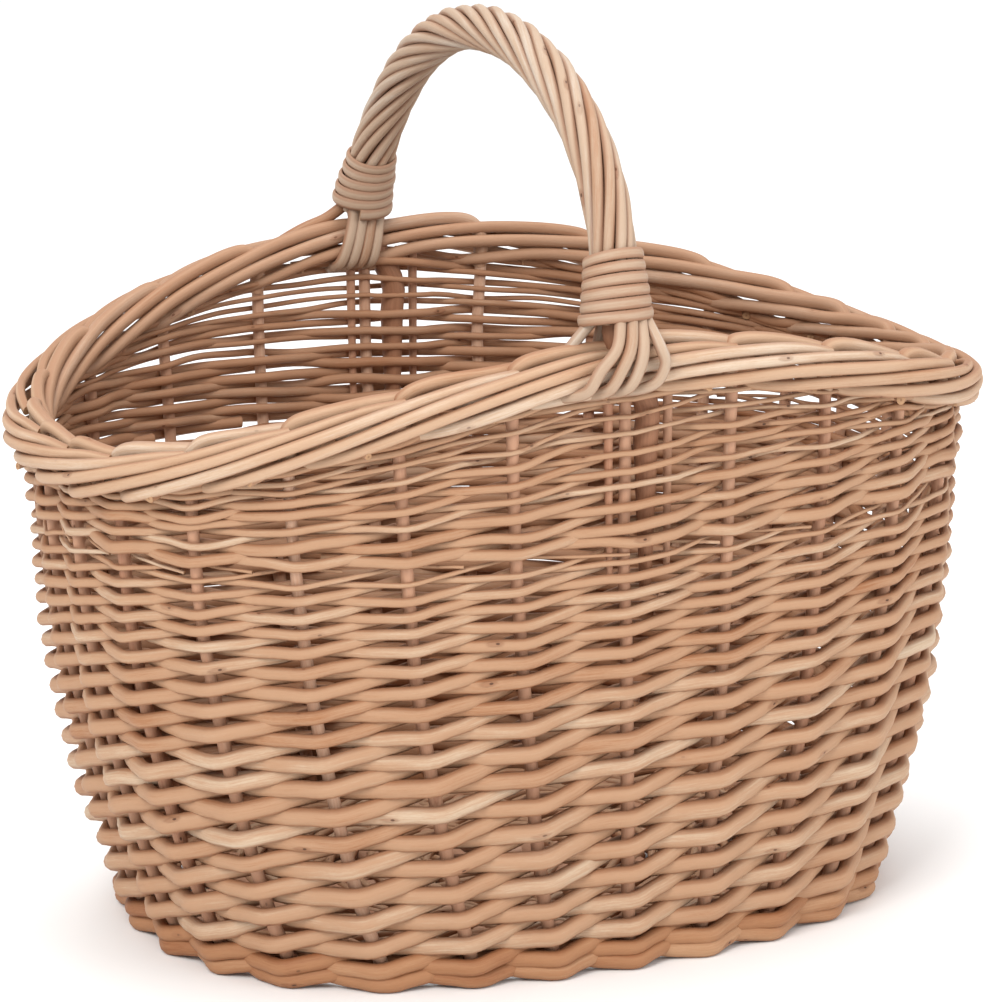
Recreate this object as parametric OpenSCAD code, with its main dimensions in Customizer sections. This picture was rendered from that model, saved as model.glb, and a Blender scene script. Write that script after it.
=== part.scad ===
// Oval market basket of peeled willow, with one fixed roped handle across the middle.
// Millimetres, +Z up. The origin is on the floor under the middle of the basket.
// +X runs along the basket's length, +Y from one foot of the handle to the other.

/* [Body] */
// Outside length over the border
body_len = 458; // [430:2:490]
// Outside width over the border
body_wid = 312; // [300:2:330]
// Outside length at the floor
foot_len = 355; // [345:1:365]
// Outside width at the floor
foot_wid = 271; // [265:1:280]
// Height of the border's top beside the handle
side_h = 291; // [280:1:300]
// Height of the border's top at the two ends
end_h = 242; // [230:1:255]
// Height over the handle
overall_h = 414; // [400:1:440]

/* [Rods] */
// Number of upright stakes
stake_n = 26; // [26:2:26]
// Thickness of a stake at the foot
stake_d = 6.6; // [5.5:0.1:7]
// Thickness of a stake under the border
stake_tip_d = 5.2; // [4:0.1:6]
// Thickness of the woven wall
wall_t = 16; // [14:0.5:18]
// Thickness of the handle's core bow
bow_d = 11; // [10:0.5:11.5]
// Thickness of one rod of the handle's roping
rope_d = 4.4; // [4:0.1:4.4]
// Length along the handle of one full turn of the roping, past its start
rope_pitch = 190; // [150:5:240]

/* [Base] */
// Thickness of a cross stick
cross_d = 11; // [10:0.5:11.5]
// Thickness of a long stick
long_d = 6.4; // [5:0.2:6.6]
// Thickness of the woven base
base_t = 13; // [12.5:0.5:14]

/* [Hidden] */
CROSS_STICKS = 8;
LONG_STICKS = 3;

squareness = 2.47;      // exponent of the oval: 2 is an ellipse
bulge = 0.23;           // how far the wall swells past a straight flare
// How far the stakes stand round from even places, as shares of the way round. A pair
// is [beside the handle's near foot, beside its far foot].
foot_lean = [0.0062, 0.0042];
rim_lean = [-0.0027, 0.003];
rim_bias = [0.0142, 0.0245];    // how much wider apart they are at the long sides
foot_bias = -0.003;             // and closer together there at the foot
// Places where some stand further round still: [share, width, shift].
foot_hump = [-0.16, 0.05, -0.0085];
rim_hump = [0.37, 0.045, -0.008];
wave_power = 1.74;      // shape of the border's rise towards the handle

border_w = 20;
border_t = 15;
border_out = 6;         // the border's middle, outside the stake line
wale_h = 17;            // height of the thick weave at the foot
wale_out = 1.2;         // how far it stands out past the wall
split_z = 200;          // where the second set of weavers starts, level all round
clear = 0.15;           // room round a rod in its channel
tuck = 46;              // length of a stake's end inside the base
base_z = 5;             // underside of the woven base

foot_a = foot_len / 2 - wall_t / 2 - wale_out;
foot_b = foot_wid / 2 - wall_t / 2 - wale_out;
rim_a = body_len / 2 - border_w / 2 - border_out;
rim_b = body_wid / 2 - border_w / 2 - border_out;
side_z = side_h - border_t;
end_z = end_h - border_t;
stick_z = base_z + base_t / 2;

sides = 6;              // of a small rod
around = 2 * stake_n;   // steps round a hoop

// ---- outlines -------------------------------------------------------------

function side_of(v) = v < 0 ? -1 : 1;
function power(v) = side_of(v) * pow(abs(v), 2 / squareness);

// A point of an oval: angle 0 is the middle of the near side, 90 the +X end.
function oval(a, b, t) = [a * power(sin(t)), -b * power(cos(t))];

// Pairs of distance round an oval and angle, for lookup().
function arc_table(a, b, n = 360) = [
    for (i = 0, s = 0; i <= n;
         s = s + norm(oval(a, b, 360 * (i + 1) / n) - oval(a, b, 360 * i / n)), i = i + 1)
    [s, 360 * i / n]];

foot_arc = arc_table(foot_a, foot_b);
rim_arc = arc_table(rim_a, rim_b);

// The angle at a share of the way round, which may be below 0 or above 1.
function angle_at(arc, share) =
    let (whole = floor(share), last = arc[len(arc) - 1][0])
    360 * whole + lookup((share - whole) * last, arc);

function biased(share, bias) = share + bias * sin(720 * share);
function near_far(pair, share) =
    (pair[0] + pair[1]) / 2 + (pair[0] - pair[1]) / 2 * cos(360 * share);
function hump(h, share) =
    let (d = share - h[0])
    h[2] * exp(-pow((d - round(d)) / h[1], 2));
function foot_angle(share) = angle_at(foot_arc,
    biased(share + near_far(foot_lean, share) + hump(foot_hump, share), foot_bias));
function rim_angle(share) = angle_at(rim_arc,
    biased(share + near_far(rim_lean, share) + hump(rim_hump, share),
           near_far(rim_bias, share)));

// Height of the siding's top edge.
function top_z(share) =
    let (x = oval(rim_a, rim_b, rim_angle(share))[0])
    end_z + (side_z - end_z) * (1 - pow(abs(x) / rim_a, wave_power));

// A point of the wall at a height, off the stake line by out.
function wall_at(share, z, out = 0) =
    let (h = z / top_z(share),
         k = h + bulge * 4 * h * (1 - h),
         foot = oval(foot_a + out, foot_b + out, foot_angle(share)),
         rim = oval(rim_a + out, rim_b + out, rim_angle(share)),
         p = foot + (rim - foot) * k)
    [p[0], p[1], z];

// ---- solids ---------------------------------------------------------------

// A closed skin over rings of points. wrap joins the last ring to the first.
module skin(rings, wrap) {
    n = len(rings);
    m = len(rings[0]);
    last = wrap ? n - 1 : n - 2;
    walls = [for (i = [0:last], j = [0:m - 1])
        let (a = i * m + j, b = i * m + (j + 1) % m,
             c = ((i + 1) % n) * m + (j + 1) % m, d = ((i + 1) % n) * m + j)
        each [[a, b, c], [a, c, d]]];
    caps = wrap ? [] : [
        [for (j = [m - 1:-1:0]) j],
        [for (j = [0:m - 1]) (n - 1) * m + j]];
    polyhedron([for (ring = rings) each ring], concat(walls, caps), convexity = 12);
}

// A band round the wall. section(share) is its outline as [height, out] pairs.
module hoop(sections) {
    skin([for (i = [0:around - 1])
        [for (p = sections[i]) wall_at(i / around, p[0], p[1])]], true);
}

function unit(v) = v / norm(v);

// Ring of points round a path point, with one corner towards ref.
function ring(p, along, ref, r) =
    let (t = unit(along), u = unit(ref - (ref * t) * t), w = cross(t, u))
    [for (j = [0:sides - 1]) p + r * (cos(360 * j / sides) * u - sin(360 * j / sides) * w)];

// A rod along a path, tapering from r0 to r1.
module rod(path, r0, r1, ref) {
    n = len(path) - 1;
    skin([for (i = [0:n])
        ring(path[i], path[min(n, i + 1)] - path[max(0, i - 1)], ref,
             r0 + (r1 - r0) * i / n)], false);
}

// ---- base -----------------------------------------------------------------

// Half the width of the base, at x, and half its length, at y.
base_out = wall_t / 2 + 0.2;
base_a = foot_a - base_out;
base_b = foot_b - base_out;
function half_width(x) = base_b * pow(1 - pow(abs(x) / base_a, squareness), 1 / squareness);
function half_length(y) = base_a * pow(1 - pow(abs(y) / base_b, squareness), 1 / squareness);

// Cross sticks lie half-way between two pairs of stakes.
function cross_x(i) =
    let (share = biased((i - CROSS_STICKS / 2 - 0.5) / stake_n, foot_bias))
    oval(foot_a, foot_b, angle_at(foot_arc, share))[0];
long_gap = long_d + 1.2;
function long_y(i) = (i - (LONG_STICKS + 1) / 2) * long_gap;

stick_margin = 2;

module long_rod(i, extra = 0) {
    y = long_y(i);
    reach = half_length(abs(y) + long_d / 2) - stick_margin + extra;
    translate([-reach, y, stick_z])
        rotate([0, 90, 0])
        cylinder(h = 2 * reach, d = long_d + 2 * extra, $fn = 48);
}

module cross_rod(i, extra = 0) {
    x = cross_x(i);
    reach = half_width(abs(x) + cross_d / 2) - stick_margin + extra;
    translate([x, -reach, stick_z])
        rotate([-90, 0, 0])
        cylinder(h = 2 * reach, d = cross_d + 2 * extra, $fn = 48);
}

module long_stick(i) {
    color("wheat")
    long_rod(i);
}

// A cross stick is pierced, and the long sticks run through it.
module cross_stick(i) {
    color("tan")
    difference() {
        cross_rod(i);
        for (k = [1:LONG_STICKS])
            long_rod(k, clear);
    }
}

// A straight channel for the end of a stake.
module stake_socket(i) {
    foot = wall_at((i - 1) / stake_n, stick_z);
    in = inward(foot);
    length = tuck + 1;
    translate(foot)
        rotate([0, 90, atan2(in[1], in[0])])
        cylinder(h = length, d = stake_d + 2 * clear, $fn = 36);
}

module base_weave() {
    color("burlywood")
    difference() {
        translate([0, 0, base_z])
            linear_extrude(base_t)
            polygon([for (i = [0:around - 1])
                oval(base_a, base_b, angle_at(foot_arc, i / around))]);
        for (i = [1:LONG_STICKS])
            long_rod(i, clear);
        for (i = [1:CROSS_STICKS])
            cross_rod(i, clear);
        for (i = [1:stake_n])
            stake_socket(i);
    }
}

// ---- wall -----------------------------------------------------------------

bend_z = 22;            // where a stake has finished its bend at the foot
stake_steps = 7;

// The way in from a point of the foot, square to the oval there.
function inward(p) = unit([
    -side_of(p[0]) * pow(abs(p[0]) / foot_a, squareness - 1) / foot_a,
    -side_of(p[1]) * pow(abs(p[1]) / foot_b, squareness - 1) / foot_b, 0]);

// In from the end inside the base, round the bend, then up the wall to the border.
function stake_path(share) =
    let (foot = wall_at(share, stick_z), in = inward(foot), top = top_z(share))
    concat(
        [foot + tuck * in, foot + 5 * in, wall_at(share, stick_z + 1.6) + 1.2 * in],
        [for (i = [0:stake_steps])
            wall_at(share, bend_z + (top - bend_z) * i / stake_steps)]);

module stake(i) {
    share = (i - 1) / stake_n;
    foot = wall_at(share, 0);
    color("tan")
    rod(stake_path(share), stake_d / 2, stake_tip_d / 2, unit([foot[1], -foot[0], 0]));
}

// The thick weave round the foot, in one piece with the strip under the stakes' bends.
module upsett_wale() {
    half = wall_t / 2;
    edge = half + wale_out;
    under = stick_z - stake_d / 2 - 0.4;
    color("peru")
    hoop([for (i = [0:around - 1]) [
        [0, -half + 2], [0, half], [3, edge], [wale_h - 3, edge], [wale_h, half - 1],
        [wale_h, stake_gap], [under, stake_gap], [under, -half], [2, -half]]]);
}

stake_gap = stake_d / 2 + 0.3;  // from the stake line to the weave on either side
siding_steps = 4;

// One face of a band of siding, between two distances from the stake line. The
// lower band has a level top, and the upper one runs from there to the border.
module siding_face(upper, inner, outer) {
    hoop([for (i = [0:around - 1])
        let (low = upper ? split_z : wale_h,
             high = upper ? top_z(i / around) : split_z,
             zs = [for (j = [0:siding_steps]) low + (high - low) * j / siding_steps])
        concat([for (z = zs) [z, outer]],
               [for (j = [siding_steps:-1:0]) [zs[j], inner]])]);
}

// The weavers pass outside one stake and inside the next, so a band of siding
// has an outer and an inner face, with the stakes standing between them.
module siding(upper) {
    siding_face(upper, stake_gap, wall_t / 2);
    siding_face(upper, -wall_t / 2, -stake_gap);
}

module lower_siding() {
    color("burlywood")
    siding(false);
}

module upper_siding() {
    color("navajowhite")
    difference() {
        siding(true);
        handle_channels();
    }
}

// The border's outline is a rounded bar over the siding's top.
border_corners = 10;

module border() {
    step = 360 / border_corners;
    color("wheat")
    difference() {
        skin([for (i = [0:around - 1])
            let (share = i / around, top = top_z(share))
            [for (j = [0:border_corners - 1])
                let (a = step * (j + 0.5),
                     out = border_out + border_w / 2 * cos(a) / cos(step / 2))
                wall_at(share, top, out) + [0, 0, border_t / 2 * (1 + sin(a))]]], true);
        handle_channels();
    }
}

// ---- handle ---------------------------------------------------------------

// The bow is a half oval that stands on the two long sides.
bow_half = 142;         // half its width at its widest
bow_z = 266;            // height of its widest
rope_r = (bow_d + rope_d) / 2 + 0.4;
bow_rise = overall_h - bow_z - rope_r - rope_d / 2;
bow_squareness = 0.87;
bow_end = 178;          // the bow's ends stand this high above the floor
bow_steps = 40;
collar_d = 5.2;
collar_pitch = 4.8;
collar_room = 1.1;      // between the roping and the collar
near_from = 11;         // where the roping starts and ends, as angles round the bow
far_from = 169.5;
bow_skew = 8.2;         // how far the bow's feet stand to the -X side of its top
skew_power = 8;

function bow_at(t) = [-bow_skew * pow(cos(t), skew_power), -bow_half * cos(t),
    bow_z + bow_rise * side_of(sin(t)) * pow(abs(sin(t)), bow_squareness)];

bow_arc = [
    for (i = 0, s = 0; i <= 180;
         s = s + norm(bow_at(i + 1) - bow_at(i)), i = i + 1)
    [s, i]];
bow_length = [for (row = bow_arc) [row[1], row[0]]];
function bow_angle(s) = lookup(s, bow_arc);
function bow_s(t) = lookup(t, bow_length);
function bow_along(t) = unit(bow_at(t + 0.5) - bow_at(t - 0.5));

// The core bow: its ends are pushed down the wall beside the middle stakes.
bow_beside = 0.008;     // share of the way round from the middle stake
function bow_leg(share, flip) =
    [for (z = [bow_end, 215, 245, 262]) wall_at(share, z) + [0, flip * 1, 0]];

module bow_rod(extra = 0) {
    near = bow_leg(bow_beside, 1);
    far = bow_leg(0.5 - bow_beside, -1);
    arch = [for (i = [0:bow_steps]) bow_at(8 + (172 - 8) * i / bow_steps)];
    path = concat(near, arch, [for (i = [3:-1:0]) far[i]]);
    n = len(path) - 1;
    slim = 0.45;        // thickness of a cut end as a share of the bow's
    skin([for (i = [0:n])
        let (e = min(i, n - i) / 3, r = bow_d / 2 * (e < 1 ? slim + (1 - slim) * e : 1))
        ring(path[i], path[min(n, i + 1)] - path[max(0, i - 1)], [1, 0, 0], r + extra)],
        false);
}

module handle_bow() {
    color("peru")
    bow_rod();
}

rope_rods = 10;
rope_steps = 34;
rope_ease = 50;         // the rods start straight and take up their twist over this length

// Ten rods wound round the bow as a right-hand rope.
module roping_rods() {
    s0 = bow_s(near_from);
    s1 = bow_s(far_from);
    color("burlywood")
    for (k = [0:rope_rods - 1])
        rod([for (i = [0:rope_steps])
            let (s = s0 + (s1 - s0) * i / rope_steps,
                 t = bow_angle(s),
                 twist = norm([s - s0, rope_ease]) - rope_ease,
                 turn = 360 * (k / rope_rods + twist / rope_pitch),
                 out = cross(bow_along(t), [1, 0, 0]))
            bow_at(t) + rope_r * (cos(turn) * [1, 0, 0] + sin(turn) * out)],
            rope_d / 2, rope_d / 2, [1, 0, 0]);
}

// A collar of turns round the roping. It runs from angle t along the bow.
module collar(t, way, turns) {
    half = collar_pitch * (turns - 1) / 2;
    mid = bow_angle(bow_s(t) + way * (half + collar_d / 2));
    along = bow_along(mid);
    translate(bow_at(mid))
        rotate([-atan2(along[1], along[2]), asin(along[0]), 0])
        rotate_extrude($fn = 48)
        translate([rope_r + (rope_d + collar_d) / 2 + collar_room, 0])
        for (i = [0:turns - 1])
            translate([0, collar_pitch * i - half])
            circle(d = collar_d, $fn = 24);
}

module near_collar() {
    color("wheat")
    collar(near_from, 1, 6);
}

module far_collar() {
    color("wheat")
    collar(far_from, -1, 6);
}

// A foot of the handle: [y of the bow, y of the border's middle, height of the collar's
// lower edge, x of its fan's middle under the collar, and under the border]. At both
// feet the fan lies on the -Y face of the border.
border_mid = rim_b + border_out;
collar_gap = 2;
near_foot = [bow_at(near_from)[1], -border_mid, bow_at(near_from)[2] - collar_gap, -3, -17];
far_foot = [bow_at(far_from)[1], border_mid, bow_at(far_from)[2] - collar_gap, -6.5, -14.5];

fan_count = 4;
fan_step = 5.4;         // between the rods under the collar
fan_spread = 1.45;      // how much wider they lie under the border
fan_steps = 7;
fan_past = 3;           // how far past the wall the rods end
fan_room = 0.6;

// Rods from under the collar, down round the border's face and through below it.
module fan_rods(foot, extra = 0) {
    gap = rope_d / 2 + fan_room;
    ry = border_w / 2 + gap;
    rz = border_t / 2 + gap;
    mid_z = side_z + border_t / 2;
    start = [foot[0] - rope_r - 0.4, foot[2]];
    from = acos(min(0, max(-0.985, (start[0] - foot[1]) / ry))) + 12;
    round = [for (i = [0:fan_steps])
        let (a = from + (270 - from) * i / fan_steps)
        [foot[1] + ry * cos(a), mid_z + rz * sin(a)]];
    end = side_of(foot[1]) * rim_b + wall_t / 2 + fan_past;
    way = concat([start], round, [[end, mid_z - rz]]);
    n = len(way) - 1;
    for (k = [0:fan_count - 1]) {
        aside = (k - (fan_count - 1) / 2) * fan_step;
        x0 = foot[3] + aside;
        x1 = foot[4] + fan_spread * aside;
        rod([for (i = [0:n]) [x0 + (x1 - x0) * min(1, i / (n - 1)), way[i][0], way[i][1]]],
            rope_d / 2 + extra, rope_d / 2 + extra, [1, 0, 0]);
    }
}

module near_fan_rods() {
    color("navajowhite")
    fan_rods(near_foot);
}

module far_fan_rods() {
    color("navajowhite")
    fan_rods(far_foot);
}

// Thick ends of roping rods, pushed down the wall beside the bow.
liner_from = [0.0155, -0.0056];     // shares of the way round from the middle stake
liner_end = 190;
liner_slim = 0.6;

module liner_rods(foot, extra = 0) {
    for (from = liner_from) {
        share = foot[1] < 0 ? from : 0.5 - from;
        top = top_z(share);
        rod(concat(
            [for (z = [liner_end, (liner_end + top) / 2, top]) wall_at(share, z)],
            [wall_at(share, top) + [0, 0, border_t + 1]]),
            rope_d / 2 * liner_slim + extra, rope_d / 2 + extra, [1, 0, 0]);
    }
}

// What stands in the wall and the border, a little thickened, to cut its channels.
module handle_channels() {
    bow_rod(clear);
    for (foot = [near_foot, far_foot]) {
        liner_rods(foot, clear);
        fan_rods(foot, clear);
    }
}

module near_liners() {
    color("tan")
    liner_rods(near_foot);
}

module far_liners() {
    color("tan")
    liner_rods(far_foot);
}

// ---- nodes ----------------------------------------------------------------

for (i = [1:LONG_STICKS])
    long_stick(i);
for (i = [1:CROSS_STICKS])
    cross_stick(i);
base_weave();
upsett_wale();
for (i = [1:stake_n])
    stake(i);
lower_siding();
upper_siding();
border();
handle_bow();
roping_rods();
near_collar();
far_collar();
near_fan_rods();
far_fan_rods();
near_liners();
far_liners();
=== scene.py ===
"""The looks of an oval market basket of peeled willow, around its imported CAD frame.

Lengths are millimetres until a mesh is made, and then metres. A share is a share of
the way round the wall: 0 is beside the handle's near foot, and it grows towards +X.
"""
import math

import bpy
import numpy as np
from mathutils import Matrix, Vector


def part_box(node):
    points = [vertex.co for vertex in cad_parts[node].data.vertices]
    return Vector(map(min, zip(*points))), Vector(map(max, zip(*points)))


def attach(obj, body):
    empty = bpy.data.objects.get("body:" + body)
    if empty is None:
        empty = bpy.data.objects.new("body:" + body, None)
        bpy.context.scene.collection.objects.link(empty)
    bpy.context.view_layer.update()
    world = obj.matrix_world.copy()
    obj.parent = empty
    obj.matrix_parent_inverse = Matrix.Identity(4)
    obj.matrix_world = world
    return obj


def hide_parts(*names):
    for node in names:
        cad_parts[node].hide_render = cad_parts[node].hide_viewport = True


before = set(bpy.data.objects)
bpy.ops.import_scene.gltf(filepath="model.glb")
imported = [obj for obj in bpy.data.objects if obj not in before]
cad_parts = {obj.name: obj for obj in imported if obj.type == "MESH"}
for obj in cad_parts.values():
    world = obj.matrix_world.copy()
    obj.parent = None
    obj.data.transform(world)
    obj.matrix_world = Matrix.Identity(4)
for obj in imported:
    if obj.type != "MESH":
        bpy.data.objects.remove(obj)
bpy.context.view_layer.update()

MM = 0.001
TURN = 2 * math.pi


def node_box(name):
    low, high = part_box(name)
    return np.array(low) / MM, np.array(high) / MM


# ---- the CAD's sizes -------------------------------------------------------------

rim_low, rim_high = node_box("border")
STAKES = sum(1 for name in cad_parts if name.startswith("stake_"))
BODY_LEN = rim_high[0] - rim_low[0]
BODY_WID = 312.0
SIDE_H = rim_high[2]
END_H = 242.0
FOOT_LEN = 355.0
FOOT_WID = 271.0
OVERALL_H = 414.0
WALL_T = 16.0
WALE_OUT = 1.2
BORDER_W = 20.0
BORDER_T = 15.0
BORDER_OUT = 6.0
SQUARENESS = 2.47       # 2 would make the ovals ellipses
BULGE = 0.23
WAVE_POWER = 1.74       # shape of the border's rise to the middle of a long side
STICK_Z = 11.5          # middle height of the base sticks

# The stakes stand a little unevenly, as shares of the way round. A pair is the value
# beside the handle's near foot, and beside its far foot.
FOOT_LEAN = 0.0062, 0.0042
RIM_LEAN = -0.0027, 0.003
RIM_BIAS = 0.0142, 0.0245
FOOT_BIAS = -0.003
FOOT_HUMP = -0.16, 0.05, -0.0085        # where, how wide, and the shift there
RIM_HUMP = 0.37, 0.045, -0.008

FOOT_A = FOOT_LEN / 2 - WALL_T / 2 - WALE_OUT
FOOT_B = FOOT_WID / 2 - WALL_T / 2 - WALE_OUT
RIM_A = BODY_LEN / 2 - BORDER_W / 2 - BORDER_OUT
RIM_B = BODY_WID / 2 - BORDER_W / 2 - BORDER_OUT
SIDE_Z = SIDE_H - BORDER_T
END_Z = END_H - BORDER_T


def squared_off(v):
    return np.sign(v) * np.abs(v) ** (2 / SQUARENESS)


def oval(a, b, angle):
    """A point of an oval: angle 0 is the middle of the near side, 90 the +X end."""
    t = np.radians(angle)
    return a * squared_off(np.sin(t)), -b * squared_off(np.cos(t))


ANGLES = np.linspace(0, 360, 1441)


def arc_lengths(a, b):
    x, y = oval(a, b, ANGLES)
    return np.concatenate([[0], np.cumsum(np.hypot(np.diff(x), np.diff(y)))])


FOOT_ARC = arc_lengths(FOOT_A, FOOT_B)
RIM_ARC = arc_lengths(RIM_A, RIM_B)


def angle_at(arc, share):
    """The oval's angle at a share of the way round its outline."""
    whole = np.floor(share)
    return 360 * whole + np.interp((share - whole) * arc[-1], arc, ANGLES)


def near_far(pair, share):
    """From the pair's first value at share 0 to its second at share 0.5, and back."""
    return (pair[0] + pair[1]) / 2 + (pair[0] - pair[1]) / 2 * np.cos(TURN * share)


def hump(settings, share):
    """A shift in one stretch only."""
    place, width, shift = settings
    d = share - place
    return shift * np.exp(-((d - np.round(d)) / width) ** 2)


def foot_angle(share):
    s = share + near_far(FOOT_LEAN, share) + hump(FOOT_HUMP, share)
    return angle_at(FOOT_ARC, s + FOOT_BIAS * np.sin(2 * TURN * s))


def rim_angle(share):
    s = share + near_far(RIM_LEAN, share) + hump(RIM_HUMP, share)
    return angle_at(RIM_ARC, s + near_far(RIM_BIAS, share) * np.sin(2 * TURN * s))


def top_z(share):
    """Height of the siding's top edge."""
    x, _ = oval(RIM_A, RIM_B, rim_angle(share))
    return END_Z + (SIDE_Z - END_Z) * (1 - (np.abs(x) / RIM_A) ** WAVE_POWER)


def wall_at(share, z, out=0.0):
    """Points of the wall at a height, off the stake line by out."""
    share, z, out = np.broadcast_arrays(*(np.asarray(v, float) for v in (share, z, out)))
    h = z / top_z(share)
    k = h + BULGE * 4 * h * (1 - h)
    fx, fy = oval(FOOT_A, FOOT_B, foot_angle(share))
    rx, ry = oval(RIM_A, RIM_B, rim_angle(share))
    x = fx + (rx - fx) * k
    y = fy + (ry - fy) * k
    normal = wall_normal(share)
    return np.stack([x + normal[:, 0] * out, y + normal[:, 1] * out, z], -1)


def wall_normal(share):
    """The level way out of the wall."""
    step = 0.002
    ax, ay = oval(RIM_A, RIM_B, rim_angle(share - step))
    bx, by = oval(RIM_A, RIM_B, rim_angle(share + step))
    n = np.stack([by - ay, ax - bx, 0 * ax], -1)
    return n / np.linalg.norm(n, axis=1, keepdims=True)


# ---- rods ------------------------------------------------------------------------

def unit_rows(v):
    return v / np.maximum(np.linalg.norm(v, axis=1, keepdims=True), 1e-9)


def ease(v):
    v = np.clip(v, 0, 1)
    return v * v * (3 - 2 * v)


def through(points, steps):
    """A smooth path through rows of points (Catmull-Rom)."""
    p = np.asarray(points, float)
    p = np.vstack([2 * p[0] - p[1], p, 2 * p[-1] - p[-2]])
    out = []
    for i in range(1, len(p) - 2):
        t = np.arange(steps)[:, None] / steps
        a, b, c, d = p[i - 1], p[i], p[i + 1], p[i + 2]
        out.append(0.5 * (2 * b + (c - a) * t + (2 * a - 5 * b + 4 * c - d) * t ** 2
                          + (3 * b - a - 3 * c + d) * t ** 3))
    out.append(p[-2:-1])
    return np.vstack(out)


PATTERN_LENGTH = 40000  # each rod shows its own stretch of the willow pattern
END_DOME = 0.12         # a cut end stands out this share of the rod's radius


class Piece:
    """One visible piece: rods made into a single mesh.

    tone is how pale its rods are on average, from 0 to 1, and spread how much that
    varies. Each rod is a tube with that many sides."""

    def __init__(self, name, slot, nodes, seed, tone=0.5, spread=0.11, sides=10):
        self.name = name
        self.slot = slot
        self.nodes = nodes
        self.rng = np.random.default_rng(seed)
        self.tone = tone
        self.spread = spread
        self.sides = sides
        self.points = []
        self.faces = []
        self.rod = []
        self.tones = []
        self.cut = []
        self.count = 0

    def wobble(self, n, knots, size):
        """n smooth random values with that many knots."""
        knots = max(2, int(knots))
        v = self.rng.normal(0, size, knots)
        x = np.linspace(0, knots - 1, n)
        i = np.minimum(x.astype(int), knots - 2)
        f = x - i
        f = f * f * (3 - 2 * f)
        return v[i] * (1 - f) + v[i + 1] * f

    def add(self, path, radius, ref, flat=1.0, slant=(0.0, 0.0)):
        """Adds a rod. ref is a way across it: flat scales the rod that way.

        slant tilts the cut at its first and its last end."""
        path = np.asarray(path, float)
        n = len(path)
        m = self.sides
        radius = np.broadcast_to(np.asarray(radius, float), (n,))
        flat = np.broadcast_to(np.asarray(flat, float), (n,))
        ref = np.broadcast_to(np.asarray(ref, float), (n, 3))
        along = unit_rows(np.gradient(path, axis=0))
        u = unit_rows(ref - along * np.sum(ref * along, 1, keepdims=True))
        w = np.cross(along, u)
        a = TURN * np.arange(m) / m
        across = radius[:, None] * flat[:, None] * np.cos(a)
        side = radius[:, None] * np.sin(a)
        ring = path[:, None] + across[..., None] * u[:, None] + side[..., None] * w[:, None]
        s = np.concatenate([[0], np.cumsum(np.linalg.norm(np.diff(path, axis=0), axis=1))])
        shift = np.zeros((n, m))
        shift[0] = slant[0] * across[0]
        shift[-1] = slant[1] * across[-1]
        ring = ring + shift[..., None] * along[:, None]
        tone = self.tone + self.rng.normal(0, self.spread)
        start = self.rng.uniform(0, PATTERN_LENGTH)
        rod = np.stack([np.broadcast_to(s[:, None] + start, (n, m)), across, side], -1)
        base = self.count
        ids = base + np.arange(n * m).reshape(n, m)
        nxt = np.roll(ids, -1, axis=1)
        quads = np.stack([ids[:-1], nxt[:-1], nxt[1:], ids[1:]], -1).reshape(-1, 4)
        self.faces.extend(quads.tolist())
        self.points.append(ring.reshape(-1, 3))
        self.rod.append(rod.reshape(-1, 3))
        self.cut.append(np.zeros(n * m))
        self.count += n * m
        for end, way in ((0, -1), (n - 1, 1)):
            centre = ring[end].mean(0) + way * along[end] * radius[end] * END_DOME
            self.points.append(np.vstack([ring[end], centre]))
            hub = np.array([[s[end] + start, 0, 0]])
            self.rod.append(np.vstack([rod[end], hub]))
            self.cut.append(np.ones(m + 1))
            first = self.count
            for j in range(m):
                a0, a1 = first + j, first + (j + 1) % m
                tri = [a0, a1, first + m] if way > 0 else [a1, a0, first + m]
                self.faces.append(tri)
            self.count += m + 1
        self.tones.append(np.full(self.count - base, tone))

    def make(self, material):
        mesh = bpy.data.meshes.new(self.name)
        mesh.from_pydata((np.vstack(self.points) * MM).tolist(), [], self.faces)
        mesh.polygons.foreach_set("use_smooth", [True] * len(mesh.polygons))
        rod = mesh.attributes.new("rod", "FLOAT_VECTOR", "POINT")
        rod.data.foreach_set("vector", np.vstack(self.rod).ravel().astype(np.float32))
        for label, rows in (("tone", self.tones), ("cut", self.cut)):
            attribute = mesh.attributes.new(label, "FLOAT", "POINT")
            attribute.data.foreach_set("value", np.concatenate(rows).astype(np.float32))
        mesh.update()
        ob = bpy.data.objects.new(self.name, mesh)
        bpy.context.scene.collection.objects.link(ob)
        mesh.materials.append(material)
        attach(ob, "root")
        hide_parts(*self.nodes)


# ---- willow ----------------------------------------------------------------------

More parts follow.
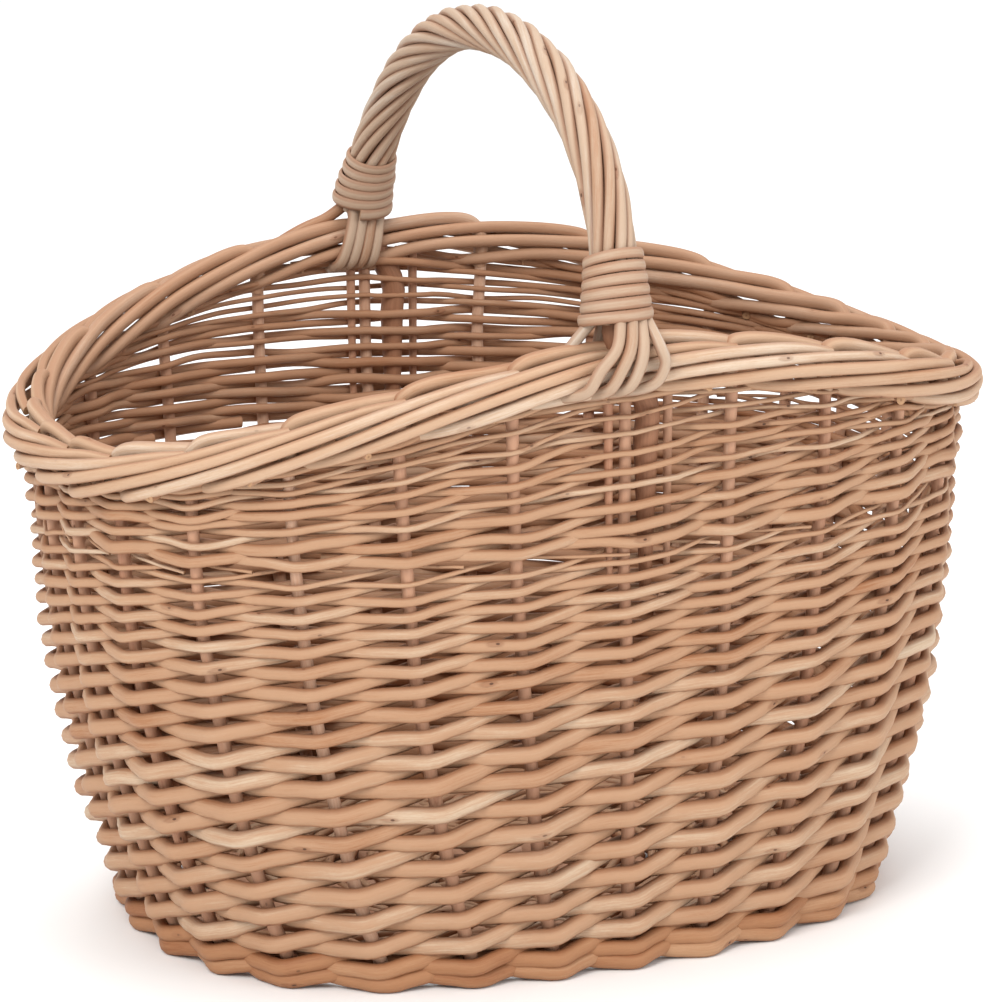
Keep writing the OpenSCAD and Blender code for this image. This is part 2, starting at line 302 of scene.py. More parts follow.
class Graph:
    """Short names for a material's nodes. Distances are in millimetres."""

    def __init__(self, name):
        self.material = bpy.data.materials.new(name)
        self.material.use_nodes = True
        self.tree = self.material.node_tree
        self.shader = self.tree.nodes["Principled BSDF"]

    def node(self, kind, **settings):
        made = self.tree.nodes.new(kind)
        for key, value in settings.items():
            setattr(made, key, value)
        return made

    def put(self, value, socket):
        if hasattr(value, "is_output"):
            self.tree.links.new(value, socket)
        else:
            socket.default_value = value

    def math(self, operation, a, b=0.0, c=0.0):
        made = self.node("ShaderNodeMath", operation=operation)
        for value, socket in zip((a, b, c), made.inputs):
            self.put(value, socket)
        return made.outputs[0]

    def between(self, value, low, high, to_low=0.0, to_high=1.0):
        made = self.node("ShaderNodeMapRange", interpolation_type="SMOOTHSTEP")
        for v, socket in zip((value, low, high, to_low, to_high), made.inputs):
            self.put(v, socket)
        return made.outputs[0]

    def vector(self, x, y, z):
        made = self.node("ShaderNodeCombineXYZ")
        for value, socket in zip((x, y, z), made.inputs):
            self.put(value, socket)
        return made.outputs[0]

    def noise(self, vector, scale, detail=2.0, rough=0.5):
        made = self.node("ShaderNodeTexNoise")
        self.put(vector, made.inputs["Vector"])
        made.inputs["Scale"].default_value = scale
        made.inputs["Detail"].default_value = detail
        made.inputs["Roughness"].default_value = rough
        return made.outputs["Fac"]

    def mix(self, factor, a, b):
        made = self.node("ShaderNodeMix", data_type="RGBA")
        self.put(factor, made.inputs[0])
        self.put(a, made.inputs[6])
        self.put(b, made.inputs[7])
        return made.outputs[2]


def linear(r, g, b):
    """An sRGB colour from 0 to 255 as linear light."""
    def one(v):
        v = v / 255
        return v / 12.92 if v <= 0.04045 else ((v + 0.055) / 1.055) ** 2.4
    return one(r), one(g), one(b), 1.0


SCAR_GAP = 46.0         # one bud scar in each such length of a rod
SCAR_BROWN = linear(122, 74, 48)
EYE_BROWN = linear(66, 38, 24)
# The painted crevice shade: a redder brown laid along the rods' edges and backs.
PAINTED_SHADE_BROWN = linear(132, 78, 46)
CUT_WOOD = linear(170, 132, 98)
PITH = linear(112, 74, 48)


def willow(name, deep, middle, pale, painted_crevice_shade=0.5):
    """Peeled willow: deep, middle and pale are its colours across the rods' tones.

    The last argument sets how much painted crevice shade, a redder brown, lies along a rod's
    sides and on its back."""
    g = Graph(name)
    rod = g.node("ShaderNodeAttribute", attribute_name="rod")
    tone = g.node("ShaderNodeAttribute", attribute_name="tone").outputs["Fac"]
    cut = g.node("ShaderNodeAttribute", attribute_name="cut").outputs["Fac"]
    split = g.node("ShaderNodeSeparateXYZ")
    g.put(rod.outputs["Vector"], split.inputs[0])
    s, y, z = split.outputs
    # Colour drifts along a rod, and fine grain runs lengthwise.
    drift = g.noise(g.vector(g.math("MULTIPLY", s, 0.02), g.math("MULTIPLY", y, 0.12),
                             g.math("MULTIPLY", z, 0.12)), 1.0, 3.0)
    grain = g.noise(g.vector(g.math("MULTIPLY", s, 0.045), y, z), 1.1, 4.0, 0.65)
    fibre = g.noise(g.vector(g.math("MULTIPLY", s, 0.11), y, z), 4.2, 3.0, 0.6)
    shade = g.math("MULTIPLY_ADD", g.math("SUBTRACT", drift, 0.5), 0.6, tone)
    shade = g.math("MULTIPLY_ADD", g.math("SUBTRACT", grain, 0.5), 0.6, shade)
    shade = g.math("MULTIPLY_ADD", g.math("SUBTRACT", fibre, 0.5), 0.25, shade)
    colour = g.mix(g.between(shade, 0.0, 0.5), deep, middle)
    colour = g.mix(g.between(shade, 0.5, 1.0), colour, pale)
    # Bud scars: one at a random place in each length SCAR_GAP, with a dark eye.
    cell = g.math("FLOOR", g.math("DIVIDE", s, SCAR_GAP))
    chance = g.node("ShaderNodeTexWhiteNoise", noise_dimensions="1D")
    g.put(cell, chance.inputs["W"])
    random_rgb = g.node("ShaderNodeSeparateColor")
    g.put(chance.outputs["Color"], random_rgb.inputs[0])
    place, turn, size = random_rgb.outputs
    at = g.math("MULTIPLY", g.math("ADD", cell, g.math("MULTIPLY_ADD", place, 0.7, 0.15)),
                SCAR_GAP)
    ds = g.math("SUBTRACT", s, at)
    angle = g.math("MULTIPLY", turn, TURN)
    reach = g.math("SQRT", g.math("ADD", g.math("MULTIPLY", y, y), g.math("MULTIPLY", z, z)))
    dy = g.math("SUBTRACT", y, g.math("MULTIPLY", reach, g.math("COSINE", angle)))
    dz = g.math("SUBTRACT", z, g.math("MULTIPLY", reach, g.math("SINE", angle)))
    round_2 = g.math("ADD", g.math("MULTIPLY", dy, dy), g.math("MULTIPLY", dz, dz))
    ragged = g.math("MULTIPLY", g.math("SUBTRACT", fibre, 0.5), 1.2)

    def spot(shift, long, wide):
        """1 on a spot of that length and width by the scar, ragged at its rim."""
        d = g.math("DIVIDE", g.math("ADD", ds, shift), long)
        far = g.math("ADD", g.math("MULTIPLY", d, d), g.math("DIVIDE", round_2, wide * wide))
        return g.between(g.math("ADD", far, ragged), 0.35, 1.5, 1.0, 0.0)

    shown = g.between(size, 0.3, 0.9)
    eye = g.math("MULTIPLY", spot(0.0, 0.9, 0.5), shown)
    knob = g.math("MULTIPLY", spot(1.2, 4.0, 1.3), shown)
    colour = g.mix(g.math("MULTIPLY", knob, 0.4), colour, SCAR_BROWN)
    colour = g.mix(g.math("MULTIPLY", eye, 0.85), colour, EYE_BROWN)
    # Painted shade: a rod is redder along its edges and on its back, where it lies against
    # others and the crevices fall in shade.
    painted_edge_shade = g.between(g.math("DIVIDE", g.math("ABSOLUTE", z), reach), 0.6, 1.0, 0.0, painted_crevice_shade)
    painted_back_shade = g.between(g.math("DIVIDE", y, reach), 0.1, -0.7, 0.0, 0.8 * painted_crevice_shade)
    colour = g.mix(g.math("MAXIMUM", painted_edge_shade, painted_back_shade), colour, PAINTED_SHADE_BROWN)
    # A cut end is pale wood with a darker pith.
    pith = g.between(reach, 0.25, 0.8, 1.0, 0.0)
    end_colour = g.mix(g.math("MULTIPLY", pith, 0.6), CUT_WOOD, PITH)
    colour = g.mix(cut, colour, end_colour)
    g.put(colour, g.shader.inputs["Base Color"])
    rough = g.math("MULTIPLY_ADD", g.math("SUBTRACT", grain, 0.5), 0.3, 0.62)
    g.put(rough, g.shader.inputs["Roughness"])
    g.shader.inputs["Specular IOR Level"].default_value = 0.3
    height = g.math("MULTIPLY_ADD", fibre, 0.10, g.math("MULTIPLY", grain, 0.16))
    height = g.math("MULTIPLY_ADD", knob, 0.35, height)
    height = g.math("MULTIPLY_ADD", eye, -0.25, height)
    bump = g.node("ShaderNodeBump")
    bump.inputs["Strength"].default_value = 0.8
    bump.inputs["Distance"].default_value = MM
    g.put(height, bump.inputs["Height"])
    g.put(bump.outputs[0], g.shader.inputs["Normal"])
    return g.material


WEAVE = willow("willow_weave", linear(149, 97, 60), linear(173, 135, 105),
               linear(196, 176, 152))
STAKE = willow("willow_stake", linear(156, 107, 80), linear(181, 138, 111),
               linear(200, 166, 141), painted_crevice_shade=0.0)
WALE = willow("willow_wale", linear(133, 79, 45), linear(160, 114, 80),
              linear(180, 141, 108))
BORDER = willow("willow_border", linear(162, 116, 82), linear(184, 151, 123),
                linear(204, 186, 166))
HANDLE = willow("willow_handle", linear(158, 116, 86), linear(175, 150, 128),
                linear(197, 189, 177))
CORE = willow("willow_core", linear(124, 82, 58), linear(149, 105, 78),
              linear(170, 128, 98), painted_crevice_shade=0.0)


# ---- wall ------------------------------------------------------------------------

STAKE_R0 = 3.3
STAKE_R1 = 2.7
SQUEEZE = 0.88          # how far off the stake line a weaver lies: 1 just clears a stake
PER_STROKE = 12         # path points from one stake to the next
FIRST_ROW = 22.4        # height of the lowest row's middle
SPLIT_Z = 200.0         # where the upper set of weavers starts
NEAR_SPACE = 0          # the stake space in which the handle's near foot stands
FAR_SPACE = STAKES // 2 - 1
HELD_Z = 160.0          # from here up, weavers pass the handle's rods with their stake
HELD_OVER = 30.0        # and they change over to that within this height
HELD_PART = 0.42        # share of the stake space that the handle's rods take up
BOW_PART = 0.6          # past this share of the way to the bow, a weaver clears it
HARMONICS = 0.84, 0.11, 0.05            # a weaver's zigzag, as odd cosines
WEAVER_FLAT = 0.88
THINNEST = 0.8
FLOOR_GAP = 0.15


def stake_r(z):
    return STAKE_R0 + (STAKE_R1 - STAKE_R0) * np.clip(z / SIDE_Z, 0, 1)


def bow_r_at(z):
    """Radius of the bow's leg in the wall, thin at its cut end."""
    return np.interp(z, [170, 178, 245], [0, 2.5, 5.5])


def zigzag(j):
    """1 at each even j, -1 at each odd one, and nearly straight between."""
    return sum(part * np.cos((2 * i + 1) * np.pi * j) for i, part in enumerate(HARMONICS))


def stroke(u, first, z, rod_r):
    """How far off the stake line a weaver lies, at place u counted in stakes.

    It is outside the stake first, inside the next, and so on. Beside the handle it
    passes the bow and the liners together with their stake."""
    space = np.floor(u) % STAKES
    part = u - np.floor(u)
    held = ease((z - HELD_Z) / HELD_OVER)
    near = np.clip((part - HELD_PART) / (1 - HELD_PART), 0, 1)
    far = np.clip(part / (1 - HELD_PART), 0, 1)
    part = np.where(space == NEAR_SPACE, part + (near - part) * held, part)
    part = np.where(space == FAR_SPACE, part + (far - part) * held, part)
    j = np.floor(u) + part - first
    bow = np.where(space == NEAR_SPACE, 1 - near, np.where(space == FAR_SPACE, far, 0))
    core = np.maximum(stake_r(z), bow_r_at(z) * (bow > BOW_PART))
    wave = zigzag(j)
    return SQUEEZE * (core + rod_r) * wave


def add_weaver(piece, first, j0, j1, level_z, radius_of, dip=1.6, uneven=0.45):
    """A rod woven from stake first + j0 to first + j1, about the height level_z(u, j).

    It dips by dip before a stake and rises as much behind the next. uneven is how far
    its height strays."""
    n = max(4, int((j1 - j0) * PER_STROKE) + 1)
    j = np.linspace(j0, j1, n)
    u = first + j
    knots = 2 * (j1 - j0) + 2
    z = level_z(u, j) - dip * zigzag(j) + piece.wobble(n, knots, uneven)
    z = np.maximum(z, radius_of(u, j) + FLOOR_GAP)
    r = radius_of(u, j) * (1 + piece.rng.normal(0, 0.05)) + piece.wobble(n, knots, 0.06)
    share = u / STAKES
    out = stroke(u, first, z, r) + piece.wobble(n, knots, 0.4)
    path = wall_at(share, z, out)
    piece.add(path, np.maximum(r, THINNEST), wall_normal(share), flat=WEAVER_FLAT)


# Each lower weaver climbs half a pitch from one stake to the next, so the rods that pass
# outside a stake are a pitch apart. At these heights it has these values:
PITCH_AT = [17, 85, 100, 125, 140, 165, 200]
PITCH = [12.8, 12.8, 12.2, 10.8, 10.0, 8.3, 6.4]
FOOT_ROWS = [5.4, 8.4, 11.9, 16.0]      # rows of the same rods, under the first row
THICK_FROM = -4.8       # the rods' thick beginnings, in stakes from the first row
THICK_TO = -0.85
THIN_FROM = -1.15       # the rest of the same rods
ROD_SHARE = 0.32        # radius of a lower weaver over the pitch
FADE = 0.65             # a lower weaver loses this share of its radius at its thin end
FADE_ROWS = 5
rows = [FIRST_ROW]
while rows[-1] + PITCH[-1] / 2 < SPLIT_Z - 2:
    rows.append(rows[-1] + np.interp(rows[-1], PITCH_AT, PITCH) / 2)
ROWS = np.array(rows)
LAST_ROW = len(ROWS) - 1

lower = Piece("lower_weavers", "willow_weave", ["lower_siding"], 11)


def lower_z(u, j):
    return np.interp(j, np.arange(-4, LAST_ROW + 1), [*FOOT_ROWS, *ROWS])


def lower_r(u, j):
    r = np.interp(lower_z(u, j), PITCH_AT, PITCH) * ROD_SHARE
    return r * (1 - FADE * ease((j - LAST_ROW + FADE_ROWS - 1) / FADE_ROWS))


for first in range(STAKES):
    end = LAST_ROW + 0.6 + lower.rng.uniform(-0.5, 0.5)
    add_weaver(lower, first, THIN_FROM, end, lower_z, lower_r)
lower.make(WEAVE)

# The upper set starts level and fills to the border. A rod ends where the border
# comes down on it, and short ones start where it goes up again.
upper = Piece("upper_weavers", "willow_weave", ["upper_siding"], 12, spread=0.08)
TOP_ROW = 18
UPPER_FIRST = 1.6       # height of the first upper row over the split
UPPER_STEP = 4.1
UPPER_THINNEST = 1.15


def upper_level(share, row):
    """Height of an upper row: level at the split, and along the border at the top."""
    rise = UPPER_FIRST + UPPER_STEP * row
    part = rise / (SIDE_Z - SPLIT_Z)
    return SPLIT_Z + rise * (1 - part + part * (top_z(share) - SPLIT_Z) / (SIDE_Z - SPLIT_Z))


def upper_fits(first, row):
    share = (first + row) / STAKES
    return upper_level(share, row) < top_z(share) - 1.0


for first in range(STAKES):
    row = 0
    while row <= TOP_ROW:
        if not upper_fits(first, row):
            row += 1
            continue
        start = row
        while row < TOP_ROW and upper_fits(first, row + 1):
            row += 1
        last = row
        row += 1
        butt = upper.rng.uniform(2.3, 3.1) if start == 0 else upper.rng.uniform(1.7, 2.7)
        taper = upper.rng.uniform(0.085, 0.12)

        def upper_z(u, j):
            return upper_level(u / STAKES, np.clip(j, 0, TOP_ROW))

        def upper_r(u, j):
            return np.maximum(butt - taper * (j - start), UPPER_THINNEST)

        before = 0.75 if start == 0 else upper.rng.uniform(0.25, 0.7)
        after = upper.rng.uniform(0.3, 0.7)
        add_weaver(upper, first, start - before, last + after, upper_z, upper_r, 0.8, 0.75)
upper.make(WEAVE)

# Stakes: in from the end inside the base, round the bend, then up the wall.
TUCK = 46               # length of a stake inside the base
BEND_Z = 22.0           # the stake follows the wall from here up
UP_POINTS = 46
for i in range(STAKES):
    piece = Piece(f"willow_stake_{i + 1}", "willow_stake", [f"stake_{i + 1}"], 100 + i,
                  spread=0.14, sides=14)
    share = i / STAKES
    top = float(top_z(np.array([share]))[0])
    way_in = -wall_normal(np.array([share]))[0]
    foot = wall_at([share], [STICK_Z])[0]
    turn_at = wall_at([share], [STICK_Z + 1.6])[0] + 1.2 * way_in
    low = through([foot + TUCK * way_in, foot + 5 * way_in, turn_at,
                   wall_at([share], [BEND_Z])[0]], 6)
    z = np.linspace(BEND_Z, top + 2, UP_POINTS)[1:]
    sway = piece.wobble(len(z), 7, 0.00035)
    high = wall_at(share + sway, z, piece.wobble(len(z), 7, 0.25))
    path = np.vstack([low, high])
    r = np.linspace(STAKE_R0, STAKE_R1, len(path)) + piece.wobble(len(path), 8, 0.08)
    side = np.cross(wall_normal(np.array([share]))[0], [0, 0, 1])
    piece.add(path, r, side)
    piece.make(STAKE)

# The foot: the thick beginnings of the weavers, from the floor up.
wale = Piece("wale_rods", "willow_weave", ["upsett_wale"], 13, sides=12)


def wale_r(u, j):
    return 3.9 - 0.02 * (j + 4)


for first in range(STAKES):
    add_weaver(wale, first, THICK_FROM, THICK_TO, lower_z, wale_r, 1.9, 0.3)
wale.make(WALE)

# ---- border ----------------------------------------------------------------------

# One rod from each stake: up at the stake, along the crest, slowly down the inside, under
# and up the front. Rows: stakes passed, height over the siding, way out.
BORDER_WAY = [
    (0.0, -8.0, -0.5), (0.0, 6.0, -0.5), (0.06, 12.6, 0.3), (0.3, 14.4, 0.5),
    (0.8, 12.4, -1.6), (1.3, 9.4, -3.6), (1.9, 5.8, -5.0), (2.5, 1.8, -5.4),
    (2.95, -2.4, -4.0), (3.15, -5.4, 1.0), (3.4, -5.2, 7.5), (3.8, -2.8, 11.2),
    (4.5, 2.2, 12.6), (5.3, 6.8, 12.4), (6.0, 10.0, 10.0), (6.6, 11.4, 6.6),
    (7.0, 10.0, 3.5)]
BORDER_R = 3.4
BORDER_TAPER = 0.28     # share of its radius that a border rod loses on the way
# A trimmed tip under the border, left of each stake.
TIP_WAY = [(-0.36, -4.0, -3.0), (-0.32, -5.0, 4.0), (-0.3, -6.0, 11.0)]
border = Piece("border_rods", "willow_border", ["border"], 14, sides=12)


def border_path(i, rows, jitter, steps):
    """The path through rows from stake i, each row moved at random by about jitter."""
    way = np.array(rows)
    way = through(way + border.rng.normal(0, 1, way.shape) * jitter, steps)
    share = (i + way[:, 0]) / STAKES
    return wall_at(share, top_z(share), way[:, 2]) + np.outer(way[:, 1], [0, 0, 1]), share


for i in range(STAKES):
    path, share = border_path(i, BORDER_WAY, [0.02, 0.3, 0.3], 9)
    part = np.linspace(0, 1, len(path))
    r = BORDER_R * (1 + border.rng.normal(0, 0.04)) * (1 - BORDER_TAPER * part)
    r = r + border.wobble(len(path), 9, 0.07)
    border.add(path, r, wall_normal(share), slant=(0.0, border.rng.uniform(-0.5, 0.9)))
    path, share = border_path(i, TIP_WAY, [0.05, 0.6, 0.8], 5)
    r = border.rng.uniform(1.5, 2.1)
    border.add(path, r, [0, 0, 1.0], slant=(0.0, border.rng.uniform(-0.7, 0.7)))
border.make(BORDER)

# ---- handle ----------------------------------------------------------------------

BOW_HALF = 142.0        # half the bow's span, at height BOW_Z
BOW_Z = 266.0
BOW_D = 11.0
BOW_TIP_R = 2.6         # the bow's cut ends, down the wall
BOW_FULL_Z = 245        # from here up the bow has its full thickness
ROPE_D = 4.4
ROPE_FULLNESS = 1.1     # the rods are drawn this much thicker, so that they touch
ROPE_PITCH = 190.0      # a roping rod goes once round the bow in this length
ROPE_EASE = 50.0        # the twist starts slowly over about this length
ROPE_RODS = 10
ROPE_R = (BOW_D + ROPE_D) / 2 + 0.4
BOW_RISE = OVERALL_H - BOW_Z - ROPE_R - ROPE_D / 2
BOW_SQUARENESS = 0.87
BOW_END = 178.0
BOW_BESIDE = 0.008      # share of the way round from the stake line to the bow's leg
BOW_SKEW = 8.2          # both feet stand this far towards -X from the arch's top
SKEW_POWER = 8          # the higher it is, the closer to the feet the lean stays
ARCH_FROM = 8.0         # the bow's angle where its legs end and the arch begins
NEAR_FROM = 11.0        # the bow's angles where the roping starts and ends
FAR_FROM = 169.5


def bow_at(t):
    """The bow's middle line: angle 0 is its near foot, 180 its far foot."""
    t = np.atleast_1d(np.asarray(t, float))
    sine = np.sin(np.radians(t))
    rise = np.sign(sine) * np.abs(sine) ** BOW_SQUARENESS
    cosine = np.cos(np.radians(t))
    skew = -BOW_SKEW * cosine ** SKEW_POWER
    return np.stack([skew, -BOW_HALF * cosine, BOW_Z + BOW_RISE * rise], -1)


BOW_T = np.linspace(0, 180, 721)
BOW_S = np.concatenate([[0], np.cumsum(np.linalg.norm(np.diff(bow_at(BOW_T), axis=0), axis=1))])


def bow_frame(s):
    """Centres, ways along and ways out of the bow at distances s along it."""
    t = np.interp(s, BOW_S, BOW_T)
    along = unit_rows(bow_at(t + 0.5) - bow_at(t - 0.5))
    return bow_at(t), along, np.cross(along, [1.0, 0, 0])


def bow_s(t):
    return float(np.interp(t, BOW_T, BOW_S))


def bow_leg(share, flip):
    """A leg of the bow in the wall, from its cut end up."""
    z = np.array([BOW_END, 200, 222, 245, 262])
    return wall_at(share, z) + [0, flip * 1.0, 0]


core = Piece("handle_core", "willow_core", ["handle_bow"], 15, sides=20)
legs = bow_leg(BOW_BESIDE, 1), bow_leg(0.5 - BOW_BESIDE, -1)
arch = bow_at(ARCH_FROM + (180 - 2 * ARCH_FROM) * np.arange(41) / 40)
path = through(np.vstack([legs[0], arch, legs[1][::-1]]), 3)
bow_r = np.interp(path[:, 2], [BOW_END, BOW_FULL_Z], [BOW_TIP_R, BOW_D / 2])
core.add(path, bow_r, [1.0, 0, 0])
core.make(CORE)

rope = Piece("handle_roping", "willow_handle", ["roping_rods"], 16, sides=12)
ROPE_POINTS = 220
rope_s0 = bow_s(NEAR_FROM)
rope_s1 = bow_s(FAR_FROM)
for k in range(ROPE_RODS):
    n = ROPE_POINTS
    s = np.linspace(rope_s0, rope_s1, n)
    centre, along, out = bow_frame(s)
    twist = np.hypot(s - rope_s0, ROPE_EASE) - ROPE_EASE
    turn = TURN * (k / ROPE_RODS + twist / ROPE_PITCH) + rope.wobble(n, 12, 0.04)
    reach = ROPE_R + rope.wobble(n, 14, 0.16)
    ray = np.cos(turn)[:, None] * [1.0, 0, 0] + np.sin(turn)[:, None] * out
    r = ROPE_D / 2 * ROPE_FULLNESS * (1 + rope.rng.normal(0, 0.05)) + rope.wobble(n, 10, 0.06)
    rope.add(centre + reach[:, None] * ray, r, ray)
rope.make(HANDLE)

COLLAR_PITCH = 5.0
COLLAR_LAG = 0.85       # share of a turn's climb that is made at the back
COLLAR_START = 2.0      # angle of the winding's first end, in radians
COLLAR_DEEP = 13.2      # reach across the roping, and how much of it is lost on the way up
DEEP_LOSS = 1.6
WIDE_LOSS = 3.8
STRIP_R = 2.65
STRIP_FLAT = 0.42


def make_collar(name, node, from_t, way, turns, wide, front, seed):
    """A flat split rod wound round the roping, from the bow's angle from_t upwards.

    way is 1 at the near foot and -1 at the far one, and wide is its reach along X at the
    bottom. It lies level at the phase front, and climbs round the other side."""
    piece = Piece(name, "willow_handle", [node], seed, sides=14)
    n = 400
    phase = TURN * np.linspace(0, turns, n)
    up = 1.0 + COLLAR_PITCH * (phase - COLLAR_LAG * np.sin(phase - front)) / TURN
    centre, along, out = bow_frame(bow_s(from_t) + way * up)
    share_up = np.clip(up / up[-1], 0, 1)
    wide = wide - WIDE_LOSS * share_up + piece.wobble(n, 16, 0.25)
    deep = COLLAR_DEEP - DEEP_LOSS * share_up
    angle = phase * way + COLLAR_START
    cosine, sine = np.cos(angle), np.sin(angle)
    ray = cosine[:, None] * [1.0, 0, 0] + sine[:, None] * out
    offset = (wide * cosine)[:, None] * [1.0, 0, 0] + (deep * sine)[:, None] * out
    r = STRIP_R + piece.wobble(n, 14, 0.1)
    piece.add(centre + offset, r, ray, flat=STRIP_FLAT)
    piece.make(HANDLE)


make_collar("near_collar_winding", "near_collar", NEAR_FROM, 1, 5.7, 16.3, 2.71, 17)
make_collar("far_collar_winding", "far_collar", FAR_FROM, -1, 5.5, 14.2, 0.43, 18)

# The handle's rods below a collar: each is a row of x, for one list of (y, z) places.
NEAR_FAN = [
    (-8.5, -10.0, -15.0, -24.0, -29.5, -36.0, -40.0),
    (-3.2, -4.4, -8.2, -13.5, -19.0, -24.5, -28.5),
    (1.2, 0.8, -2.2, -5.2, -10.0, -16.0, -20.0),
    (4.4, 4.6, 5.4, 7.0, 2.0, -9.5, -15.0)]
NEAR_FAN_PLACES = [
    (-146.0, 309.0), (-150.6, 301.5), (-156.6, 291.5), (-159.0, 283.0),
    (-157.4, 274.2), (-148.0, 270.4), (-137.0, 270.0)]
FAR_FAN = [
    (-13.6, -14.2, -18.5, -22.0, -24.0, -25.0),
    (-9.4, -9.8, -13.4, -16.5, -18.5, -19.0),
    (-4.8, -5.0, -8.4, -11.0, -13.0, -14.0),
    (-0.2, -0.4, -3.6, -5.8, -8.0, -9.0)]
FAR_FAN_PLACES = [
    (135.0, 304.0), (132.6, 295.0), (130.0, 282.0), (131.6, 273.0), (141.0, 269.5),
    (150.0, 269.5)]
FAN_R = 2.75
FAN_FLAT = 0.85


def make_fan(name, node, columns, places, insets, extra, seed):
    """Rods under a collar: insets says how far towards +Y each starts off its place.

    extra holds more rods, as whole paths."""
    piece = Piece(name, "willow_handle", [node], seed, sides=14)
    ways = [np.column_stack([xs, places]) for xs in columns]
    for way, inset in zip(ways, insets):
        way[:2, 1] += inset
    ways.extend(extra)
    for way in ways:
        path = through(way, 6)
        r = FAN_R * (1 + piece.rng.normal(0, 0.05)) + piece.wobble(len(path), 6, 0.08)
        piece.add(path, r, [0, -1.0, 0.2], flat=FAN_FLAT)
    piece.make(HANDLE)


# More rods leave the collars on the inside, and dip into the border's top.
NEAR_INNER = [
    np.array([(-12.0, -140.0, 308.0), (-19.0, -139.0, 300.0), (-29.0, -138.0, 289.0),
              (-36.0, -138.0, 280.0)]),
    np.array([(-8.0, -133.0, 308.0), (-10.0, -132.5, 298.0), (-12.5, -132.0, 286.0),
              (-14.0, -133.0, 274.0)])]
FAR_INNER = [
    np.array([(-13.0, 142.0, 300.0), (-23.0, 143.0, 293.5), (-37.0, 144.0, 288.0),
              (-52.0, 146.0, 280.0)])]
make_fan("near_fan", "near_fan_rods", NEAR_FAN, NEAR_FAN_PLACES,
         (1.0, 1.0, 3.0, 6.0), NEAR_INNER, 19)
make_fan("far_fan", "far_fan_rods", FAR_FAN, FAR_FAN_PLACES,
         (0.0, 0.0, 0.0, 1.0), FAR_INNER, 20)

LINER_END = 186         # height of a liner's cut end
LINER_R = 1.5, 2.3      # at that end, and at the border
LINER_POINTS = 14
LINER_PLACES = 0.0155, -0.0056          # shares of the way round from the stake line


def make_liners(name, node, places, seed):
    """Ends of roping rods, pushed down the wall beside the bow."""
    piece = Piece(name, "willow_stake", [node], seed, tone=0.45, sides=12)
    for share in places:
        top = float(top_z(np.array([share]))[0])
        z = np.linspace(LINER_END, top + 5, LINER_POINTS)
        r = np.linspace(*LINER_R, LINER_POINTS)
        piece.add(wall_at(share, z), r, [1.0, 0, 0])
    piece.make(STAKE)


make_liners("near_liner_rods", "near_liners", LINER_PLACES, 21)
make_liners("far_liner_rods", "far_liners", [0.5 - share for share in LINER_PLACES], 22)

# ---- base ------------------------------------------------------------------------

BASE_GAP = 0.2
BASE_A = FOOT_A - WALL_T / 2 - BASE_GAP
BASE_B = FOOT_B - WALL_T / 2 - BASE_GAP
CROSS_R = 5.3
CROSS_POINTS = 40
LONG_R = 3.1
LONG_POINTS = 60
cross_x = []
for name in sorted(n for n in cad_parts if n.startswith("cross_stick_")):
    low, high = node_box(name)
    cross_x.append((low[0] + high[0]) / 2)
    piece = Piece("base_" + name, "willow_core", [name], 300 + len(cross_x), sides=16)
    y = np.linspace(low[1], high[1], CROSS_POINTS)
    x = cross_x[-1] + piece.wobble(CROSS_POINTS, 5, 0.3)
    r = CROSS_R + piece.wobble(CROSS_POINTS, 6, 0.1)
    piece.add(np.stack([x, y, 0 * y + STICK_Z], -1), r, [1.0, 0, 0])
    piece.make(STAKE)
long_y = []
for name in sorted(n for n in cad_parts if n.startswith("long_stick_")):
    low, high = node_box(name)
    long_y.append((low[1] + high[1]) / 2)
    piece = Piece("base_" + name, "willow_core", [name], 320 + len(long_y), sides=14)
    x = np.linspace(low[0], high[0], LONG_POINTS)
    y = long_y[-1] + piece.wobble(LONG_POINTS, 6, 0.25)
    piece.add(np.stack([x, y, 0 * x + STICK_Z], -1), LONG_R, [0, 1.0, 0])
    piece.make(STAKE)

base = Piece("base_weavers", "willow_weave", ["base_weave"], 23, sides=8)
BASE_ROD_R = 2.1
BASE_WAVE = 4.4         # a ring's middle passes this far over or under the sticks' middle
RINGS = 27
INNER_RING = 0.16       # sizes of the rings, as shares of the base's
RINGS_REACH = 0.82
RING_POINTS = 420


def passed(values, stick):
    """The places in a row of values where it passes a stick."""
    away = values - stick
    return np.flatnonzero(away[:-1] * away[1:] < 0).tolist()


for ring in range(RINGS):
    scale = INNER_RING + RINGS_REACH * ring / (RINGS - 1)
    x, y = oval(BASE_A * scale, BASE_B * scale, np.linspace(0, 360, RING_POINTS))
    # A ring goes over one stick and under the next. The long sticks count as one.
    crossings = sorted(sum((passed(x, stick) for stick in cross_x), passed(y, long_y[1])))
    marks = np.array([-1] + crossings + [RING_POINTS])
    signs = np.array([(-1) ** (k + ring) for k in range(len(marks))])
    wave = np.sin(np.interp(np.arange(RING_POINTS), marks, signs) * np.pi / 2)
    z = STICK_Z + wave * BASE_WAVE
    base.add(np.stack([x, y, z], -1), BASE_ROD_R, [0, 0, 1.0])
base.make(WEAVE)

# ---- stage -----------------------------------------------------------------------

FLOOR_HALF = 12.0       # metres, as are the rest of the stage's lengths


def matt(name, grey, rough):
    """A plain grey with a faint mottle."""
    g = Graph(name)
    place = g.node("ShaderNodeNewGeometry").outputs["Position"]
    mottle = g.between(g.noise(place, 3.0, 2.0), 0.3, 0.7)
    pale = (grey, grey, grey, 1)
    dark = (0.99 * grey, 0.99 * grey, 0.99 * grey, 1)
    g.put(g.mix(mottle, pale, dark), g.shader.inputs["Base Color"])
    g.shader.inputs["Roughness"].default_value = rough
    return g.material


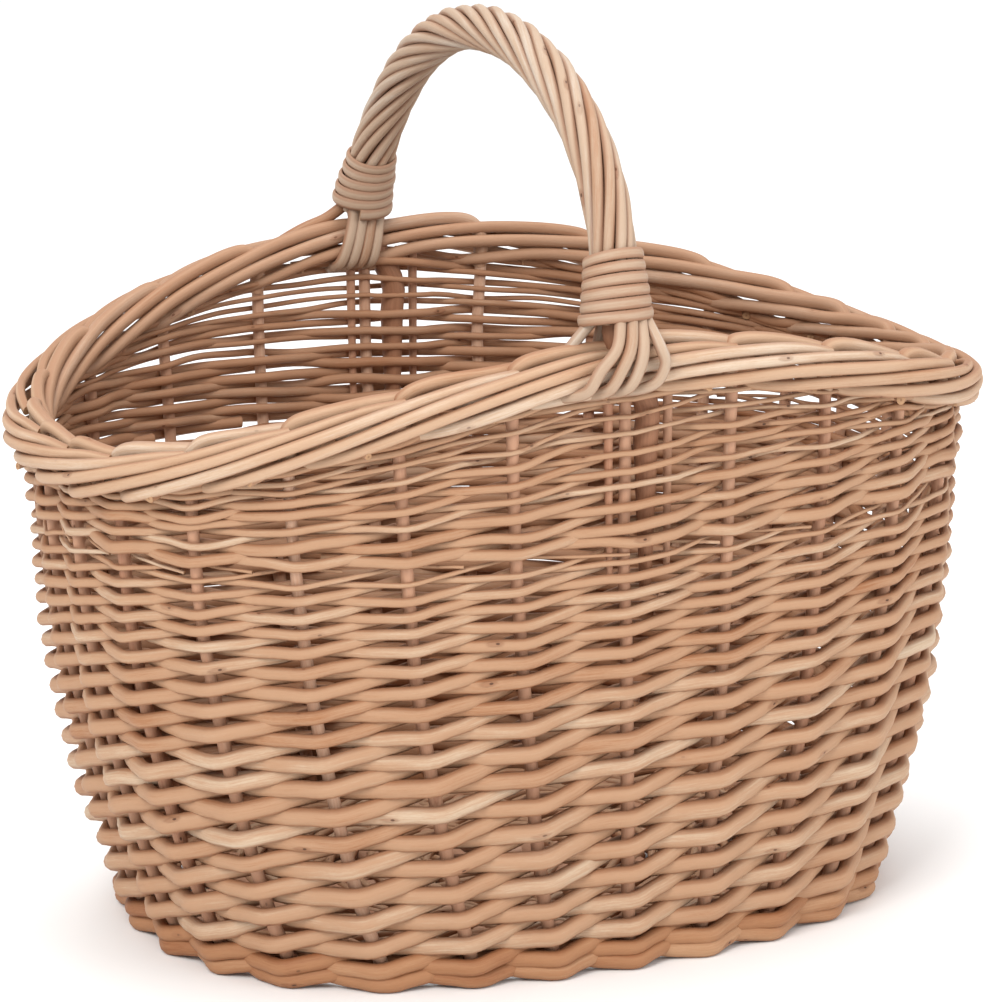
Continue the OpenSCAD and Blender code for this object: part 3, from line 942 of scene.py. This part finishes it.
corners = [(-FLOOR_HALF, -FLOOR_HALF, 0), (FLOOR_HALF, -FLOOR_HALF, 0),
           (FLOOR_HALF, FLOOR_HALF, 0), (-FLOOR_HALF, FLOOR_HALF, 0)]
floor_mesh = bpy.data.meshes.new("floor")
floor_mesh.from_pydata(corners, [], [(0, 1, 2, 3)])
floor = bpy.data.objects.new("floor", floor_mesh)
floor_mesh.materials.append(matt("pale_floor", 0.9, 0.7))
bpy.context.scene.collection.objects.link(floor)

world = bpy.data.worlds.new("studio")
world.use_nodes = True
background = world.node_tree.nodes["Background"]
background.inputs["Color"].default_value = (1, 1, 1, 1)
background.inputs["Strength"].default_value = 0.9
bpy.context.scene.world = world


def soft_light(name, place, aim, size, watts, colour=(1, 1, 1)):
    data = bpy.data.lights.new(name, "AREA")
    data.shape = "SQUARE"
    data.size = size
    data.energy = watts
    data.color = colour
    ob = bpy.data.objects.new(name, data)
    ob.location = place
    ob.rotation_euler = (Vector(aim) - Vector(place)).to_track_quat("-Z", "Y").to_euler()
    bpy.context.scene.collection.objects.link(ob)


soft_light("key", (-1.9, -1.6, 2.3), (0, 0, 0.15), 1.5, 62, (1.0, 0.985, 0.96))
soft_light("fill", (1.9, -2.2, 1.1), (0, 0, 0.15), 1.8, 25, (1.0, 0.99, 0.98))
soft_light("top", (0.2, 0.3, 2.6), (0, 0, 0.1), 1.6, 34)

CAMERA_PLACE = -1.06991, -2.35218, 0.86359
CAMERA_RIGHT = Vector((0.90996, -0.41465, -0.00610))
CAMERA_UP = Vector((0.11063, 0.22855, 0.96723))
CAMERA_AHEAD = Vector((0.39967, 0.88081, -0.25385))
camera_data = bpy.data.cameras.new("camera")
camera_data.lens = 212.34
camera_data.sensor_width = 36
camera_data.sensor_fit = "HORIZONTAL"
camera_data.clip_end = 100
camera = bpy.data.objects.new("camera", camera_data)
turn = Matrix((CAMERA_RIGHT, CAMERA_UP, -CAMERA_AHEAD)).transposed()
camera.matrix_world = Matrix.Translation(CAMERA_PLACE) @ turn.to_4x4()
bpy.context.scene.collection.objects.link(camera)
bpy.context.scene.camera = camera
bpy.context.scene.view_settings.view_transform = "Standard"
